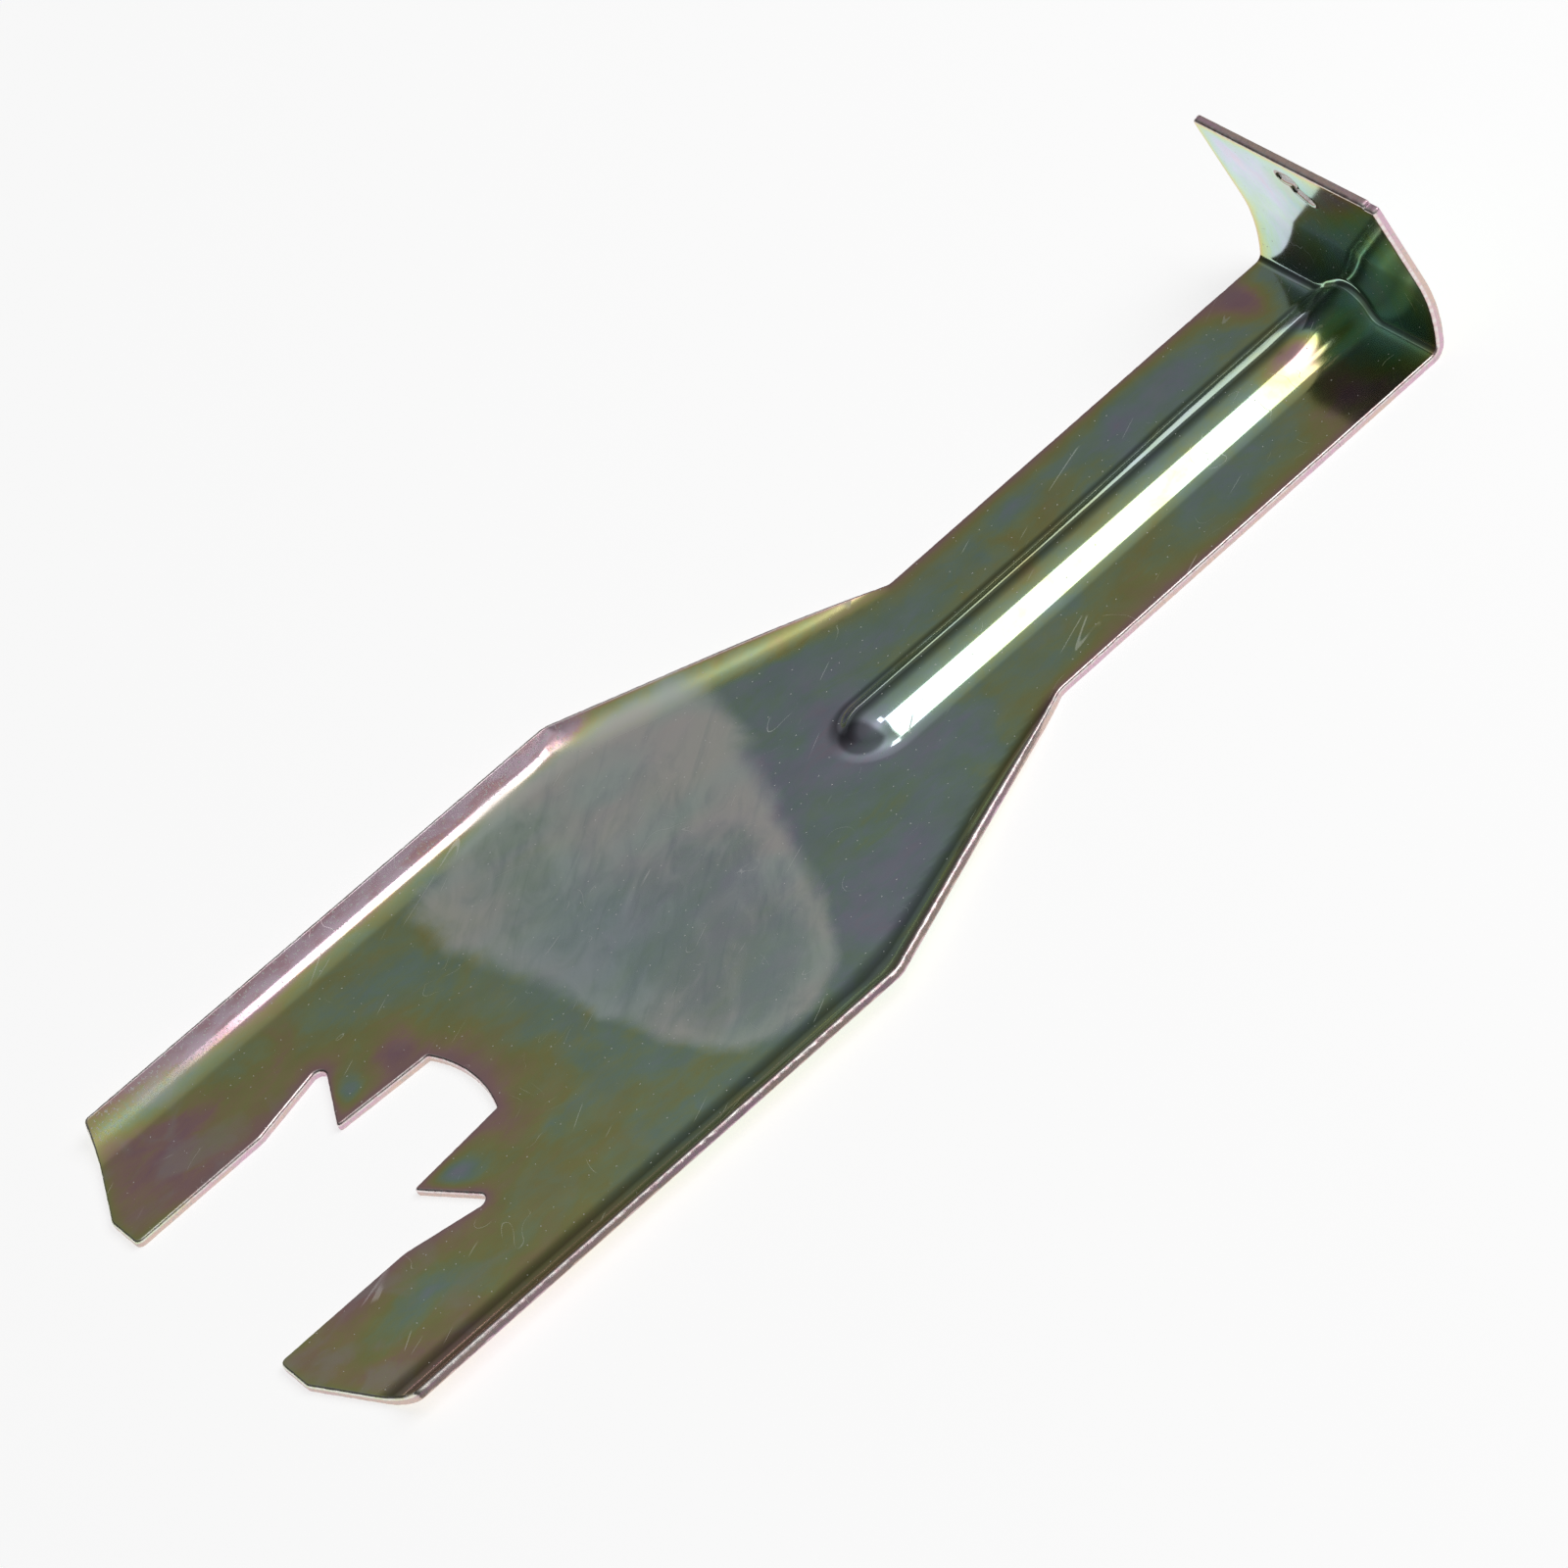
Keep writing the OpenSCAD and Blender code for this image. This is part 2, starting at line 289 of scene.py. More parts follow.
def side_corners(side):
    """Corners of the blank on one side, from the middle of the slot's end round to the hook."""
    skew_l, skew_w = (x * side / 2 for x in BARB_SKEW)
    half_end = math.asin(INNER_W / 2 / SLOT_END_R)
    arc = [(INNER_L + SLOT_END_R * (math.cos(a) - math.cos(half_end)), SLOT_END_R * math.sin(a), 0)
           for a in np.linspace(0, half_end, 13)[1:-1]]
    flare = math.atan((NOTCH_W - MOUTH_W) / 2 / (NOTCH_L - NOTCH_R - MOUTH_L))
    nu, nv = NOTCH_L - NOTCH_R, NOTCH_W / 2 - NOTCH_R
    notch = [(nu + NOTCH_R * math.cos(a), nv + NOTCH_R * math.sin(a), 0)
             for a in np.linspace(math.radians(-25), math.pi / 2 + flare, 12)]
    rim_v = RIM_V + (WIDER_TINE if side < 0 else 0)
    nose_v = MOUTH_W / 2 + TIP_NOSE_W
    slant_u = TIP_SLANT_L * (RIM_V - nose_v) / (BLADE_HALF_W - nose_v)
    corners = arc + [
        (INNER_L, INNER_W / 2, 0.25),
        (BARB_L + skew_l, BARB_GAP / 2 - skew_w, 0.38),
        *notch,
        (MOUTH_L, MOUTH_W / 2, 3.0),
        (0, MOUTH_W / 2, 0.9),
        (0, nose_v, 1.6),
        (slant_u, rim_v, 0.9),
        (BLADE_L, rim_v, 3.0),
        (NECK_L, SHANK_W / 2, 3.0),
    ]
    if side < 0:
        top = [(SHEET_END - STEP_D, SHANK_W / 2, 0.38),
               (SHEET_END - STEP_D, SHANK_W / 2 - STEP_W, 0.1),
               (SHEET_END, SHANK_W / 2 - STEP_W, 0.38)]
    else:
        top = [(SHEET_END, SHANK_W / 2, 0.5)]
    return [(u, side * v, r) for u, v, r in corners + top]


def ruled(*spans):
    """Ruled lines over (from, to, spacing) spans that follow on from each other."""
    lines = []
    for low, high, spacing in spans:
        count = max(1, round((high - low) / spacing))
        lines += list(np.linspace(low, high, count + 1)[:-1])
    return np.array(lines + [spans[-1][1]])


def inside(points, loop):
    """True for each point inside the loop."""
    result = np.zeros(len(points), bool)
    for a, b in zip(loop, np.roll(loop, -1, 0)):
        if a[1] == b[1]:
            continue
        spans = (a[1] > points[:, 1]) != (b[1] > points[:, 1])
        at = a[0] + (points[:, 1] - a[1]) * (b[0] - a[0]) / (b[1] - a[1])
        result ^= spans & (points[:, 0] < at)
    return result


def outward_of(loop):
    """Mitred outward direction at each point of a loop that runs anticlockwise."""
    ahead = unit(np.roll(loop, -1, 0) - loop)
    middle = unit(ahead + np.roll(ahead, 1, 0))
    across = np.stack([middle[:, 1], -middle[:, 0]], -1)
    return across / np.maximum(np.sum(middle * ahead, -1), 0.55)[:, None]


def blank_outline():
    """The blank's outline, anticlockwise."""
    slot_end = (INNER_L + SLOT_END_R * (1 - math.cos(math.asin(INNER_W / 2 / SLOT_END_R))), 0, 0)
    return rounded(side_corners(-1) + side_corners(1)[::-1] + [slot_end], OUTLINE_STEP)


def build_bar():
    """The whole bar as one closed mesh, with its material's measures as vertex attributes."""
    outline = blank_outline()
    outward = outward_of(outline)

    # Grid inside the outline, finer where the sheet curves.
    grid_u = ruled((0, 100, 0.8), (100, 116, 0.5), (116, 184, 0.8), (184, 191, 0.5), (191, 196, 0.16),
                   (196, 206, 0.5), (206, SHEET_END - 10, 0.3), (SHEET_END - 10, SHEET_END, 0.22))
    grid_v = ruled((-38, -29, 0.42), (-29, -8, 0.85), (-8, 8, 0.3), (8, 29, 0.85), (29, 38, 0.42))
    grid = np.stack(np.meshgrid(grid_u, grid_v, indexing="ij"), -1).reshape(-1, 2)
    inset_loop = outline - outward * TOP_EDGE_R
    tree = kdtree.KDTree(len(outline))
    for i, p in enumerate(outline):
        tree.insert((p[0], p[1], 0), i)
    tree.balance()
    grid = grid[inside(grid, inset_loop)]
    grid = np.array([p for p in grid if tree.find((p[0], p[1], 0))[2] > TOP_EDGE_R + EDGE_CLEARANCE])

    count = len(outline)
    flat = np.concatenate([inset_loop, grid])
    edges = [(i, (i + 1) % count) for i in range(count)]
    _, _, triangles, origins, _, _ = delaunay_2d_cdt([Vector(p) for p in flat], edges, [], 0, 1e-5, True)
    source = [o[0] if o else -1 for o in origins]
    triangles = np.array([[source[i] for i in t] for t in triangles])
    triangles = triangles[inside(flat[triangles].mean(1), inset_loop)]
    p, q, r = (flat[triangles[:, k]] for k in range(3))
    area = ((q - p)[:, 0] * (r - p)[:, 1] - (q - p)[:, 1] * (r - p)[:, 0]) / 2
    triangles[area < 0] = triangles[area < 0][:, ::-1]
    triangles = triangles[np.abs(area) > SLIVER_AREA]

    # Rings round the edge: a rolled edge, the sheared wall and the burr side.
    steps = 3
    rings = [(TOP_EDGE_R * (1 - math.sin(a)), TOP_EDGE_R * (1 - math.cos(a)), 0)
             for a in np.linspace(0, math.pi / 2, steps + 1)[1:]]
    rings += [(0, depth, 1) for depth in np.linspace(TOP_EDGE_R, SHEET_T - UNDER_EDGE_R, 4)[1:-1]]
    rings += [(UNDER_EDGE_R * (1 - math.cos(a)), SHEET_T - UNDER_EDGE_R * (1 - math.sin(a)), 1)
              for a in np.linspace(0, math.pi / 2, 3)]

    rough = np.random.default_rng(SEED + 1)
    places, depths, cuts = [flat], [np.zeros(len(flat))], [np.zeros(len(flat))]
    for inset, depth, cut in rings:
        ragged = rough.normal(0, 1, count)
        ragged = (ragged + np.roll(ragged, 1)) / 2 * BURR
        last = depth >= SHEET_T
        ragged = 0 * ragged if last else np.abs(ragged)
        places.append(outline - outward * (inset + ragged)[:, None])
        depths.append(np.full(count, depth))
        cuts.append(np.full(count, 0.3 if depth < TOP_EDGE_R else (0.0 if last else 1.0)))
    places.append(grid)
    depths.append(np.full(len(grid), SHEET_T))
    cuts.append(np.zeros(len(grid)))
    place, depth, cut = np.concatenate(places), np.concatenate(depths), np.concatenate(cuts)

    u, v = place[:, 0], place[:, 1]
    normal = slopes(formed, u, v)[2]
    ripple = (waves(u, v) - dents(u, v)) * (1 - depth / SHEET_T)
    where = formed(u, v) + normal * (ripple - depth)[:, None]
    top_normal = slopes(top_face, u, v, 0.02)[2]
    shown = np.zeros_like(normal)
    shown[: len(flat)] = top_normal[: len(flat)]
    shown[-len(grid):] = -normal[-len(grid):]

    # Faces: the top, the rings, and the underside with the same triangles turned over.
    flat_count = len(flat)
    ring_start = [0] + [flat_count + k * count for k in range(len(rings))]
    last_ring = ring_start[-1]
    under = triangles + last_ring
    quads = []
    for a, b in zip(ring_start[:-1], ring_start[1:]):
        for i in range(count):
            j = (i + 1) % count
            quads.append((a + i, b + i, b + j, a + j))
    mesh = bpy.data.meshes.new("steel_bar")
    faces = [tuple(t) for t in triangles.tolist()] + quads + [tuple(t[::-1]) for t in under.tolist()]
    mesh.from_pydata((where * MM).tolist(), [], faces)
    mesh.shade_smooth()
    mesh.normals_split_custom_set_from_vertices(shown.tolist())

    distance = np.array([tree.find((p[0], p[1], 0))[2] for p in place])
    measures = {"edge_distance": distance, "cut_edge": cut, "punched": dents(u, v) / PUNCH_DEPTH}
    for name, values in measures.items():
        layer = mesh.attributes.new(name, "FLOAT", "POINT")
        layer.data.foreach_set("value", values.astype(np.float32))
    layer = mesh.attributes.new("blank_place", "FLOAT_VECTOR", "POINT")
    layer.data.foreach_set("vector", np.stack([u, v, depth], -1).astype(np.float32).ravel())
    bar = bpy.data.objects.new("steel_bar", mesh)
    bpy.context.scene.collection.objects.link(bar)
    return bar


bar = build_bar()
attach(bar, "root")
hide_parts(NODE)


# ---------------------------------------------------------------------------------------------
# Material.
# ---------------------------------------------------------------------------------------------
class Nodes:
    """Short ways to add and link shader nodes."""

    def __init__(self, tree):
        self.tree = tree

    def add(self, kind, inputs=None, **settings):
        node = self.tree.nodes.new(kind)
        for key, value in settings.items():
            setattr(node, key, value)
        for key, value in (inputs or {}).items():
            self.put(value, node.inputs[key])
        return node

    def put(self, value, socket):
        if isinstance(value, bpy.types.NodeSocket):
            self.tree.links.new(value, socket)
        else:
            socket.default_value = value

    def math(self, operation, a, b=0.0, c=0.0, clamp=False):
        node = self.add("ShaderNodeMath", {0: a, 1: b, 2: c}, operation=operation, use_clamp=clamp)
        return node.outputs[0]

    def times(self, a, b):
        return self.math("MULTIPLY", a, b)

    def times_plus(self, a, b, c, clamp=False):
        """a times b, plus c."""
        return self.math("MULTIPLY_ADD", a, b, c, clamp)

    def minus(self, a, b):
        return self.math("SUBTRACT", a, b)

    def larger(self, a, b):
        return self.math("MAXIMUM", a, b)

    def exp(self, a):
        return self.math("EXPONENT", a)

    def absolute(self, a):
        return self.math("ABSOLUTE", a)

    def ramp(self, value, stops, interpolation="LINEAR"):
        """Colours along a value. The stops are (value, colour), with a grey given as one number."""
        node = self.add("ShaderNodeValToRGB", {"Fac": value})
        node.color_ramp.interpolation = interpolation
        elements = node.color_ramp.elements
        while len(elements) > 1:
            elements.remove(elements[-1])
        for i, (position, colour) in enumerate(stops):
            element = elements[0] if i == 0 else elements.new(position)
            element.position = position
            element.color = (*colour, 1) if isinstance(colour, tuple) else (colour, colour, colour, 1)
        return node.outputs["Color"]

    def noise(self, place, pitch, detail=1.0, distortion=0.0, turn=0.0):
        """Noise from 0 to 1 with the given pitches, in millimetres of the blank."""
        moved = self.add("ShaderNodeMapping", {"Vector": place, "Scale": pitch, "Rotation": (0, 0, turn)},
                         vector_type="TEXTURE").outputs[0]
        node = self.add("ShaderNodeTexNoise", {
            "Vector": moved, "Scale": 1.0, "Detail": detail, "Distortion": distortion})
        return node.outputs["Fac"]

    def span(self, value, low, high):
        """0 at low, 1 at high, smooth between them."""
        node = self.add("ShaderNodeMapRange", {"Value": value, "From Min": low, "From Max": high},
                        interpolation_type="SMOOTHSTEP")
        return node.outputs[0]

    def mix(self, factor, a, b):
        return self.blend("MIX", factor, a, b)

    def blend(self, kind, factor, a, b):
        node = self.add("ShaderNodeMix", data_type="RGBA", blend_type=kind)
        self.put(factor, node.inputs["Factor"])
        self.put(a if isinstance(a, bpy.types.NodeSocket) else (*a, 1), node.inputs["A"])
        self.put(b if isinstance(b, bpy.types.NodeSocket) else (*b, 1), node.inputs["B"])
        return node.outputs["Result"]


# Colours of the film from thin to thick, as reflectances.
FILM = [(0.00, (0.72, 0.44, 0.50)), (0.12, (0.79, 0.50, 0.45)), (0.25, (0.75, 0.61, 0.32)),
        (0.37, (0.67, 0.67, 0.27)), (0.50, (0.59, 0.72, 0.39)), (0.62, (0.51, 0.71, 0.54)),
        (0.74, (0.53, 0.69, 0.68)), (0.86, (0.60, 0.65, 0.78)), (1.00, (0.69, 0.60, 0.74))]
# Thickness of the film along the bar, away from its edges: (length in mm, thickness).
FILM_ALONG = [(8, 0.2), (28, 0.38), (46, 0.54), (64, 0.62), (94, 0.84), (106, 0.80), (122, 0.62),
              (141, 0.46), (166, 0.60), (183, 0.52), (188, 0.66), (205, 0.68)]
# Places where the film is thinner or thicker: (length, across), half sizes, change.
FILM_SPOTS = [
    ((43, 0), (6, 12), -0.36), ((31.2, -11.8), (3, 3), 0.66), ((31, 12.4), (2.4, 2.6), 0.6),
    ((39.5, -10), (3, 3.5), -0.22), ((38, 11.5), (4, 3), -0.26), ((44, -25), (17, 6), -0.1),
    ((14, -24), (8, 5), 0.34), ((145, 13), (5, 2.6), 0.36), ((186, -3.2), (4, 2), -0.3),
    ((184, -9), (7, 8), -0.06), ((172, 10.5), (15, 4.5), 0.22), ((179, -13), (7, 4), -0.2),
    ((187.0, 13), (2.6, 7), -0.5), ((187, -15), (4, 4), -0.3), ((187, 0), (2, 6), 0.3),
    ((181, -2.4), (4, 2.6), -0.32), ((186, 15), (5, 4), -0.3), ((14, 26), (10, 5), -0.14),
    ((12, 35), (15, 2.6), 0.6), ((100, -14), (10, 9), -0.16), ((104, 16), (8, 6), -0.16),
    ((212, 11), (12, 9), 0.16), ((204, -15), (13, 5), -0.22), ((198, -8), (5, 5), 0.1)]
# Colours that aren't the film's.
LIP_PINK = (0.86, 0.66, 0.78)
HOOK_GREENS = ((0.66, 0.98, 0.80), (0.86, 0.98, 0.60))
# Painted reflection: the bright turquoise of a glow put on the hook's top face.
HOOK_GLOW_TURQUOISE = (0.55, 0.98, 0.80)
CLOUD = (0.80, 0.76, 0.72)
HAZE_PALES, HAZE_BLUE = ((0.80, 0.75, 0.68), (0.67, 0.76, 0.68)), (0.50, 0.60, 0.68)
# The punch marks' dark colour is painted shade in the dents, and their pink is a painted highlight.
PUNCH_SHADE, PUNCH_HIGHLIGHT_PINK, MARK_PALE = (0.36, 0.20, 0.17), (0.95, 0.80, 0.84), (0.8, 0.8, 0.78)
WALL_PINK, WALL_CREAM, WALL_SCORED = (0.78, 0.52, 0.64), (0.80, 0.60, 0.52), (0.62, 0.55, 0.52)
# Painted highlight colour along the rolled edge.
RIM_HIGHLIGHT = (0.88, 0.86, 0.82)


class PlatedSteel(Nodes):
    """Zinc plating under a chromate film, whose colours follow the film's thickness."""

    def __init__(self, tree):
        super().__init__(tree)
        self.place = self.measure("blank_place", "Vector")
        self.edge = self.measure("edge_distance")
        self.cut = self.measure("cut_edge")
        parts = self.add("ShaderNodeSeparateXYZ", {0: self.place})
        self.u, self.v, depth = (parts.outputs[axis] for axis in "XYZ")
        self.top = self.math("LESS_THAN", depth, SHEET_T / 2)
        # The turned-up lips: the +Y one along the blade, and the +Y one down the taper.
        self.lips = self.times(self.span(self.v, 32.5, 35), self.span(self.u, 92, 84))
        self.pink_lips = self.times(self.lips, self.span(self.u, 6, 26))
        neck = self.times(self.span(self.u, 82, 87), self.span(self.edge, 6, 3.5))
        self.neck_lip = self.times(self.span(self.v, 14, 22), neck)
        # The rolled-over edge, with the sheared wall below it.
        self.rim = self.times(self.span(self.cut, 0.05, 0.25), self.span(self.cut, 0.9, 0.4))
        self.wall = self.span(self.cut, 0.4, 0.9)

    def measure(self, name, output="Fac"):
        return self.add("ShaderNodeAttribute", attribute_name=name).outputs[output]

    def grain(self, pitch, detail=1.0, distortion=0.0, turn=0.0):
        return self.noise(self.place, pitch, detail, distortion, turn)

    def uneven(self, pitch, detail, distortion=0.0, turn=0.0):
        """Noise around 0."""
        return self.minus(self.grain(pitch, detail, distortion, turn), 0.5)

    def patches(self, low, high, pitch, detail, distortion=0.0, turn=0.0):
        """Patches where the noise is above low, full where it is above high."""
        return self.span(self.grain(pitch, detail, distortion, turn), low, high)

    def spot(self, at, size):
        """1 at one place of the blank, falling away over the given half sizes."""
        a = self.math("DIVIDE", self.minus(self.u, at[0]), size[0])
        b = self.math("DIVIDE", self.minus(self.v, at[1]), size[1])
        return self.exp(self.times(self.times_plus(a, a, self.times(b, b)), -1.0))

    def contour(self, width, pitch, detail, distortion, turn=0.0):
        """Thin wandering lines where the noise crosses its middle."""
        return self.span(self.absolute(self.uneven(pitch, detail, distortion, turn)), width, width * 0.4)

    def haze(self):
        """A dried-on haze over the middle of the blade, paler towards its rim and streaked inside."""
        half = self.times_plus(self.v, 0.27, 18.2)
        lean = self.math("DIVIDE", self.times_plus(self.v, -0.1, self.minus(self.u, 75.5)), half)
        wide = self.math("DIVIDE", self.minus(self.v, 1.5), 32.5)
        reach = self.math("ADD", self.math("POWER", self.absolute(lean), 2.6),
                          self.math("POWER", self.absolute(wide), 6))
        reach = self.times_plus(self.uneven((13, 13, 1), 4, 0.8), 0.9, reach)
        inner = self.times_plus(self.uneven((11, 5, 1), 6, 1.6, 0.7), 1.3, reach)
        paler = self.times(self.spot((84, 18), (20, 15)), 0.75)
        centre = self.span(self.math("ADD", inner, paler), 0.95, 0.0)
        thin = self.times_plus(centre, -0.62, 1.0)
        thin = self.times_plus(self.patches(0.5, 0.74, (2.2, 16, 1), 4, 1.2, -0.9), -0.16, thin)
        outline = self.times(self.span(reach, 1.22, 0.72), self.top)
        return reach, self.times(outline, self.larger(thin, 0.0))

    def thickness(self, haze_reach):
        """The film's thickness: thin at the edges, thicker inwards, and cloudy."""
        u, edge = self.u, self.edge
        depth_in = self.times(edge, self.times_plus(self.span(u, 184, 190), 1.6, 1.0))
        rise = self.minus(1.0, self.exp(self.times(depth_in, -0.52)))
        rise = self.larger(rise, self.times(self.neck_lip, self.span(edge, 0, 0.7)))
        along = self.ramp(self.math("DIVIDE", u, SHEET_END), [(x / SHEET_END, t) for x, t in FILM_ALONG],
                          "EASE")
        film = self.add("ShaderNodeSeparateColor", {0: along}).outputs[0]
        for at, size, change in FILM_SPOTS:
            film = self.times_plus(self.spot(at, size), change, film)
        film = self.times_plus(self.pink_lips, -0.6, film)
        film = self.times_plus(self.uneven((13, 10, 1), 3, 0.9), 0.72, film)
        film = self.times_plus(self.uneven((3.8, 2.2, 1), 3, 1.4), 0.26, film)
        speckle = self.times_plus(self.lips, 0.75, 0.06)
        film = self.times_plus(self.uneven((0.5, 0.5, 1), 1), speckle, film)
        film = self.times_plus(self.neck_lip, -0.3, film)
        under_haze = self.times(self.times(self.span(haze_reach, 1.1, 0.7), self.top), 0.45)
        film = self.times_plus(self.minus(0.80, film), under_haze, film)
        film = self.times(film, rise)
        tips = self.times(self.span(u, 12, 3), self.exp(self.times(edge, -1.0)))
        return self.times_plus(tips, 0.5, film)

    def film_colour(self, haze_reach, haze):
        """The film's colour, with the greens in the hook, a painted reflection glowing on the hook, pale
        clouds and the haze.
        """
        colour = self.ramp(self.thickness(haze_reach), FILM)
        pink = self.times(self.pink_lips, self.patches(0.3, 0.6, (5, 1.5, 1), 2))
        colour = self.mix(pink, colour, LIP_PINK)
        shade = self.times_plus(self.uneven((5, 4, 1), 3), 0.22, 1.0)
        grey = self.add("ShaderNodeCombineColor", {0: shade, 1: shade, 2: shade}).outputs[0]
        colour = self.blend("MULTIPLY", 1.0, colour, grey)

        deep = self.times(self.span(self.u, 183, 191), self.span(self.v, 8, 2))
        deep = self.times(deep, self.span(self.edge, 0.5, 5))
        hue = self.mix(self.patches(0.4, 0.6, (6, 5, 1), 2), *HOOK_GREENS)
        colour = self.blend("MULTIPLY", self.times(deep, 0.8), colour, hue)
        # Painted reflection: a bright turquoise glow on the hook's top face, standing in for reflected
        # light.
        hook_painted_glow = self.times(self.spot((192.5, -8.5), (3, 3.5)), self.top)
        colour = self.mix(self.times(hook_painted_glow, 0.8), colour, HOOK_GLOW_TURQUOISE)

        clouds = self.patches(0.46, 0.68, (9, 7, 1), 4, 1.0)
        clouds = self.times(clouds, self.times_plus(self.span(self.u, 34, 12), 0.34, 0.1))
        colour = self.mix(clouds, colour, CLOUD)

        pale = self.mix(self.patches(0.4, 0.62, (20, 14, 1), 2), *HAZE_PALES)
        pale = self.mix(self.times(self.spot((65, 2), (12, 15)), 0.75), pale, HAZE_BLUE)
        return self.mix(self.times(haze, 0.78), colour, pale)

    def specks(self):
        """Dust specks."""
        dots = self.add("ShaderNodeTexVoronoi", {"Vector": self.place, "Scale": 0.7},
                        voronoi_dimensions="2D")
        pick = self.add("ShaderNodeSeparateColor", {0: dots.outputs["Color"]}).outputs[0]
        return self.math("LESS_THAN", dots.outputs["Distance"],
                         self.times(self.span(pick, 0.7, 1.0), 0.066))

    def scratches(self):
        """Hairline scratches and curls."""
        curls = self.times(self.contour(0.0028, (11, 9, 1), 1.0, 1.4),
                           self.patches(0.60, 0.66, (8, 7, 1), 1, 0.3))
        straight = self.times(self.contour(0.006, (60, 5, 1), 0.5, 0.1, 0.45),
                              self.patches(0.6, 0.68, (7, 8, 1), 1, 0, 0.3))
        return self.times(self.larger(curls, straight), self.span(self.cut, 0.1, 0.0))

    def marked(self, colour, scratches):
        """The colour with its specks, scratches, punch marks with painted shade and highlight, and painted
        glints on the lips, and where those are.
        """
        punch = self.times(self.measure("punched"), self.top)
        # Painted shade: the dents of the punch marks and their raised rings are darkened.
        colour = self.mix(self.times(self.span(self.absolute(punch), 0.03, 0.16), 0.85), colour, PUNCH_SHADE)
        # Painted highlight: pale pink patches in the middle of each dent, which are also made pale and
        # non-metallic below.
        punched = self.times(self.span(punch, 0.35, 0.75), self.patches(0.3, 0.46, (1.1, 0.8, 1), 2))
        colour = self.mix(punched, colour, PUNCH_HIGHLIGHT_PINK)
        marks = self.larger(self.times(scratches, 0.55), self.specks())
        # Painted glints: pale, non-metallic dots scattered over the lips, standing in for their sparkle.
        lip_glint_dots = self.times(self.lips, self.patches(0.6, 0.66, (0.36, 0.36, 1), 1))
        marks = self.larger(marks, self.times(self.times(lip_glint_dots, self.top), 0.9))
        marks = self.larger(marks, self.times(punched, 0.9))
        return self.mix(self.times(marks, 0.8), colour, MARK_PALE), marks

    def edge_colour(self, colour):
        """The sheared wall is thinly plated, pink to cream, and scored. The rolled edge carries a painted
        highlight, a pale line with brighter beads.
        """
        wall = self.mix(self.patches(0.42, 0.6, (12, 12, 2), 2), WALL_PINK, WALL_CREAM)
        wall = self.mix(self.patches(0.45, 0.75, (0.35, 0.35, 0.6), 2), wall, WALL_SCORED)
        colour = self.mix(self.span(self.cut, 0.45, 0.9), colour, wall)
        # Painted highlight: a pale line along the rolled edge, brighter in beads, standing in for its
        # glints.
        rim_highlight_beads = self.times(self.rim, self.patches(0.35, 0.6, (0.7, 0.7, 4), 1))
        return self.mix(self.times_plus(rim_highlight_beads, 0.5, self.times(self.rim, 0.35)), colour, RIM_HIGHLIGHT)

    def relief(self, scratches):
        """Fine relief in millimetres: grain, drawing lines on the -Y lip, scoring and scratches."""
        drawn = self.times(self.span(self.v, -32.4, -34), self.span(self.u, 100, 84))
        relief = self.times(self.grain((0.45, 0.45, 1), 2), 0.0007)
        for where, pitch, detail, height in ((drawn, (0.5, 14, 1), 3, 0.0025),
                                             (self.lips, (0.4, 0.4, 1), 1, 0.0007),
                                             (self.cut, (0.3, 0.3, 1.2), 2, 0.03)):
            relief = self.times_plus(self.times(self.grain(pitch, detail), where), height, relief)
        return self.times_plus(scratches, -0.001, relief)

    def roughness(self, haze, scratches):
        roughness = self.times_plus(self.grain((4, 3, 1), 3), 0.07, 0.055)
        for amount, more in ((haze, 0.12), (scratches, 0.3), (self.wall, 0.16), (self.rim, 0.22),
                             (self.neck_lip, 0.24), (self.span(self.u, 168, 184), 0.03)):
            roughness = self.times_plus(amount, more, roughness)
        return roughness

    def build(self):
        reach, haze = self.haze()
        scratches = self.scratches()
        colour, marks = self.marked(self.film_colour(reach, haze), scratches)
        metallic = self.minus(1.0, self.larger(self.times(haze, 0.55), self.times(marks, 0.9)))
        metallic = self.times_plus(self.wall, -0.4, metallic, clamp=True)
        bump = self.add("ShaderNodeBump", {
            "Strength": 1.0, "Distance": MM, "Height": self.relief(scratches)})
        shader = self.add("ShaderNodeBsdfPrincipled", {
            "Base Color": self.edge_colour(colour), "Metallic": metallic,
            "Roughness": self.roughness(haze, scratches), "Normal": bump.outputs[0]})
        out = self.add("ShaderNodeOutputMaterial")
        self.put(shader.outputs[0], out.inputs["Surface"])


def plated_steel():
    material = bpy.data.materials.new("plated_steel")
    material.use_nodes = True
    material.node_tree.nodes.clear()
    PlatedSteel(material.node_tree).build()
    return material


bar.data.materials.append(plated_steel())


# ---------------------------------------------------------------------------------------------
# Floor, light and camera.
# ---------------------------------------------------------------------------------------------
FLOOR_HALF_W, FLOOR_Z = 3.0, -0.00002
# A studio's brightness by the height of the direction: dim low down, brighter towards its ceiling.
STUDIO = [(0.0, 0.13), (0.1, 0.12), (0.2, 0.11), (0.31, 0.065), (0.45, 0.085), (0.56, 0.12),
          (0.66, 0.18), (0.75, 0.26), (0.87, 0.31), (0.94, 0.36), (0.98, 0.45), (1.0, 0.55)]


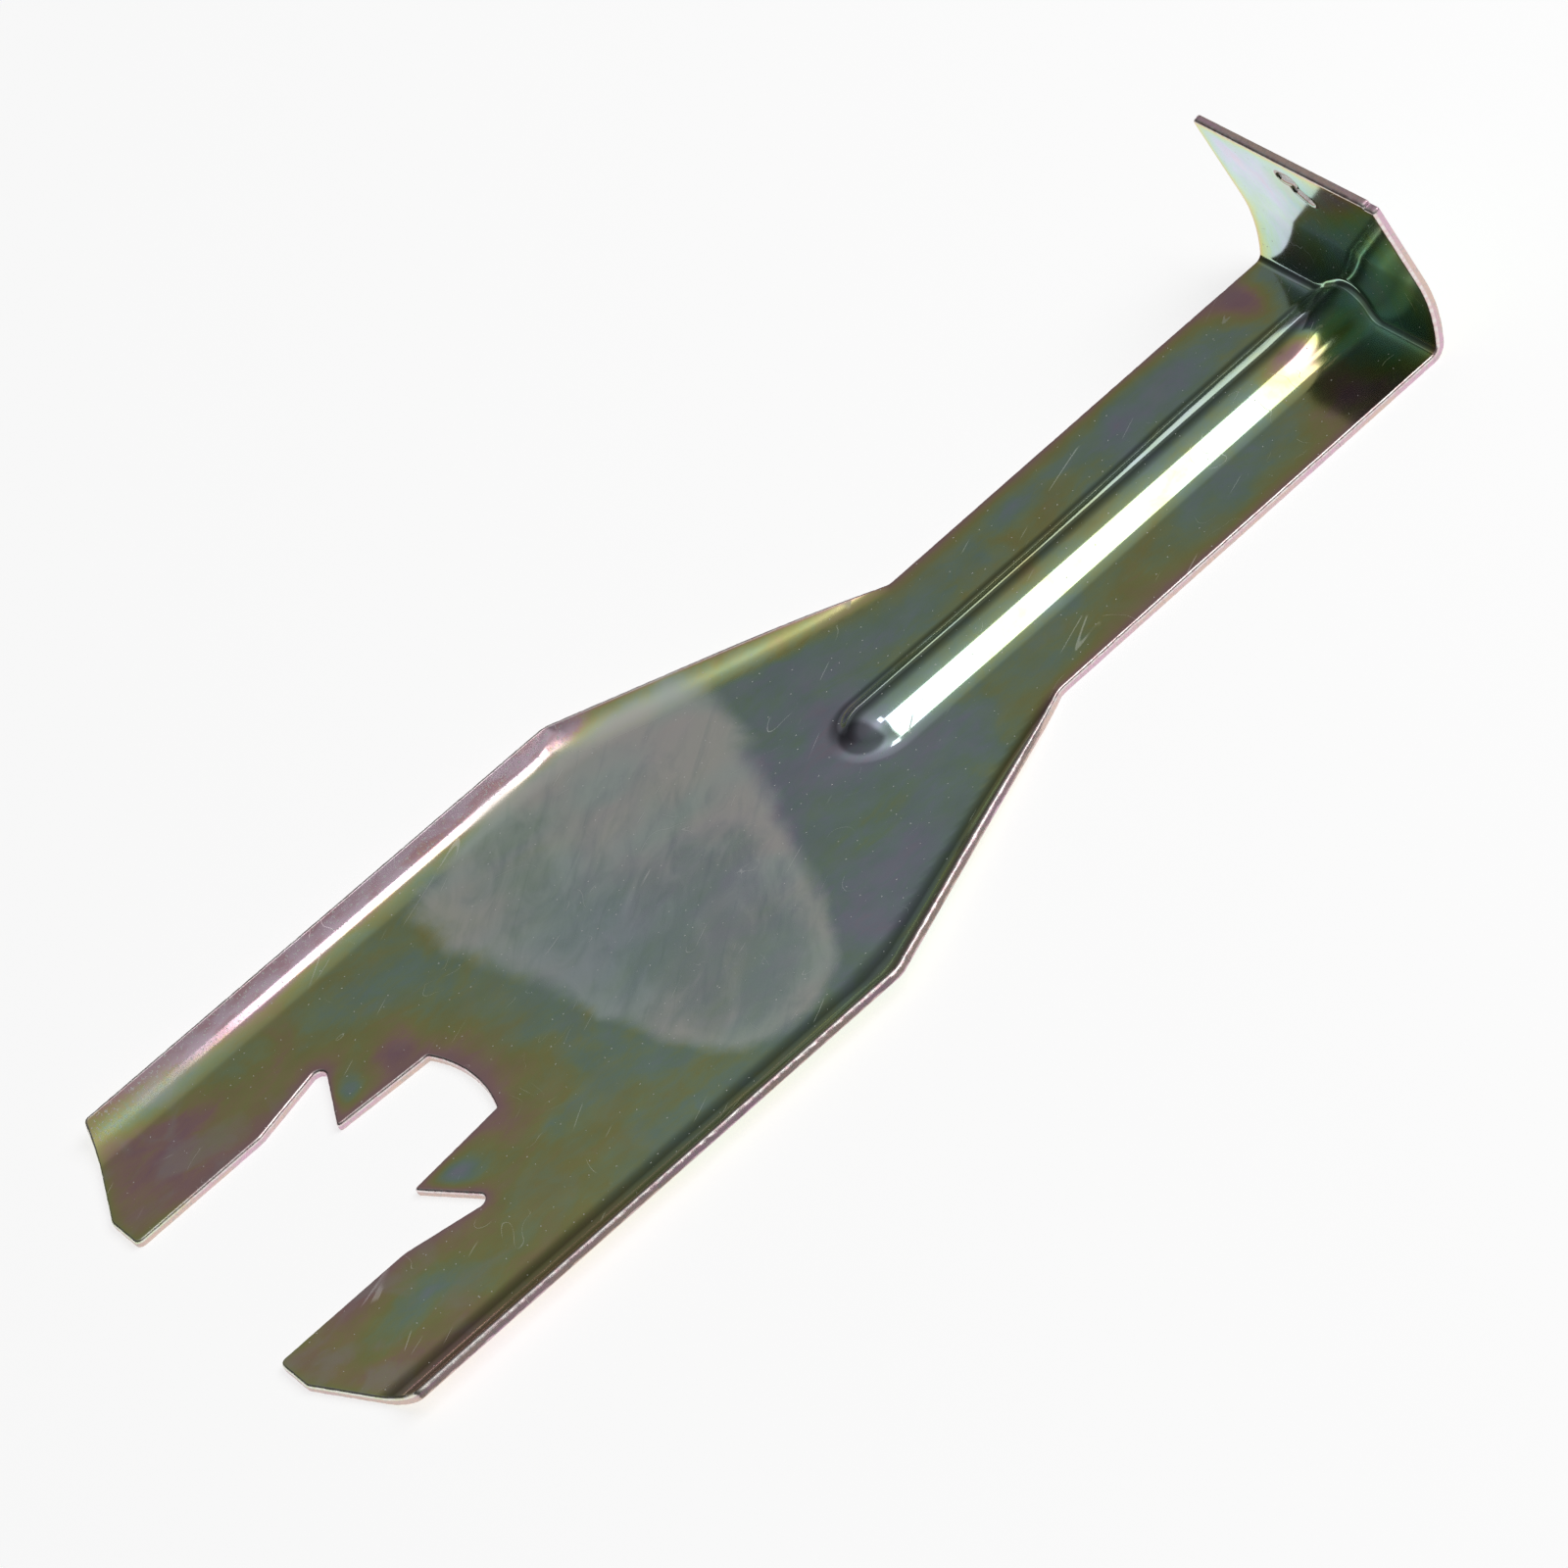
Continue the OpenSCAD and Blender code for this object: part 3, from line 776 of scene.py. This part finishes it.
def add_floor():
    half, z = FLOOR_HALF_W, FLOOR_Z
    mesh = bpy.data.meshes.new("floor")
    mesh.from_pydata([(-half, -half, z), (half, -half, z), (half, half, z), (-half, half, z)], [],
                     [(0, 1, 2, 3)])
    floor = bpy.data.objects.new("floor", mesh)
    material = bpy.data.materials.new("pale_floor")
    material.use_nodes = True
    shader = material.node_tree.nodes["Principled BSDF"]
    for name, value in (("Base Color", (0.5, 0.5, 0.5, 1)), ("Roughness", 1.0), ("Specular IOR Level", 0.0),
                        ("Emission Color", (1, 1, 1, 1)), ("Emission Strength", 0.74)):
        shader.inputs[name].default_value = value
    mesh.materials.append(material)
    bpy.context.scene.collection.objects.link(floor)


def add_world():
    """The studio round the bar, darker on its -X side."""
    world = bpy.data.worlds.new("studio")
    world.use_nodes = True
    world.node_tree.nodes.clear()
    n = Nodes(world.node_tree)
    direction = n.add("ShaderNodeTexCoord").outputs["Generated"]
    parts = n.add("ShaderNodeSeparateXYZ", {0: direction})
    strength = n.times_plus(n.span(parts.outputs["X"], -0.25, -0.02), 0.6, 0.4)
    background = n.add("ShaderNodeBackground", {
        "Color": n.ramp(parts.outputs["Z"], STUDIO), "Strength": strength})
    out = n.add("ShaderNodeOutputWorld")
    n.put(background.outputs[0], out.inputs["Surface"])
    bpy.context.scene.world = world


def add_softbox(name, centre, size, radiance):
    light = bpy.data.lights.new(name, "AREA")
    light.shape = "RECTANGLE"
    light.size, light.size_y = size
    light.energy = radiance * math.pi * size[0] * size[1]
    holder = bpy.data.objects.new(name, light)
    holder.location = centre
    bpy.context.scene.collection.objects.link(holder)


def add_camera():
    azimuth, elevation, roll = math.radians(-20.03), math.radians(41.14), math.radians(-27.52)
    distance = 849.15 * MM
    aim = Vector((-1.0, 3.46, 0.0)) * MM
    back = Vector((math.sin(azimuth) * math.cos(elevation), -math.cos(azimuth) * math.cos(elevation),
                   math.sin(elevation)))
    data = bpy.data.cameras.new("camera")
    data.sensor_width = 36.0
    data.lens = 157.5
    camera = bpy.data.objects.new("camera", data)
    level = back.to_track_quat("Z", "Y").to_matrix().to_4x4()
    camera.matrix_world = Matrix.Translation(aim + back * distance) @ level @ Matrix.Rotation(roll, 4, "Z")
    bpy.context.scene.collection.objects.link(camera)
    bpy.context.scene.camera = camera


add_floor()
add_world()
add_softbox("overhead_softbox", (1.115, -0.53, 1.2), (1.57, 1.14), 2.2)
add_softbox("strip_light", (0.23, 0.115, 1.2), (0.16, 0.27), 2.3)
add_camera()
bpy.context.scene.view_settings.view_transform = "Standard"
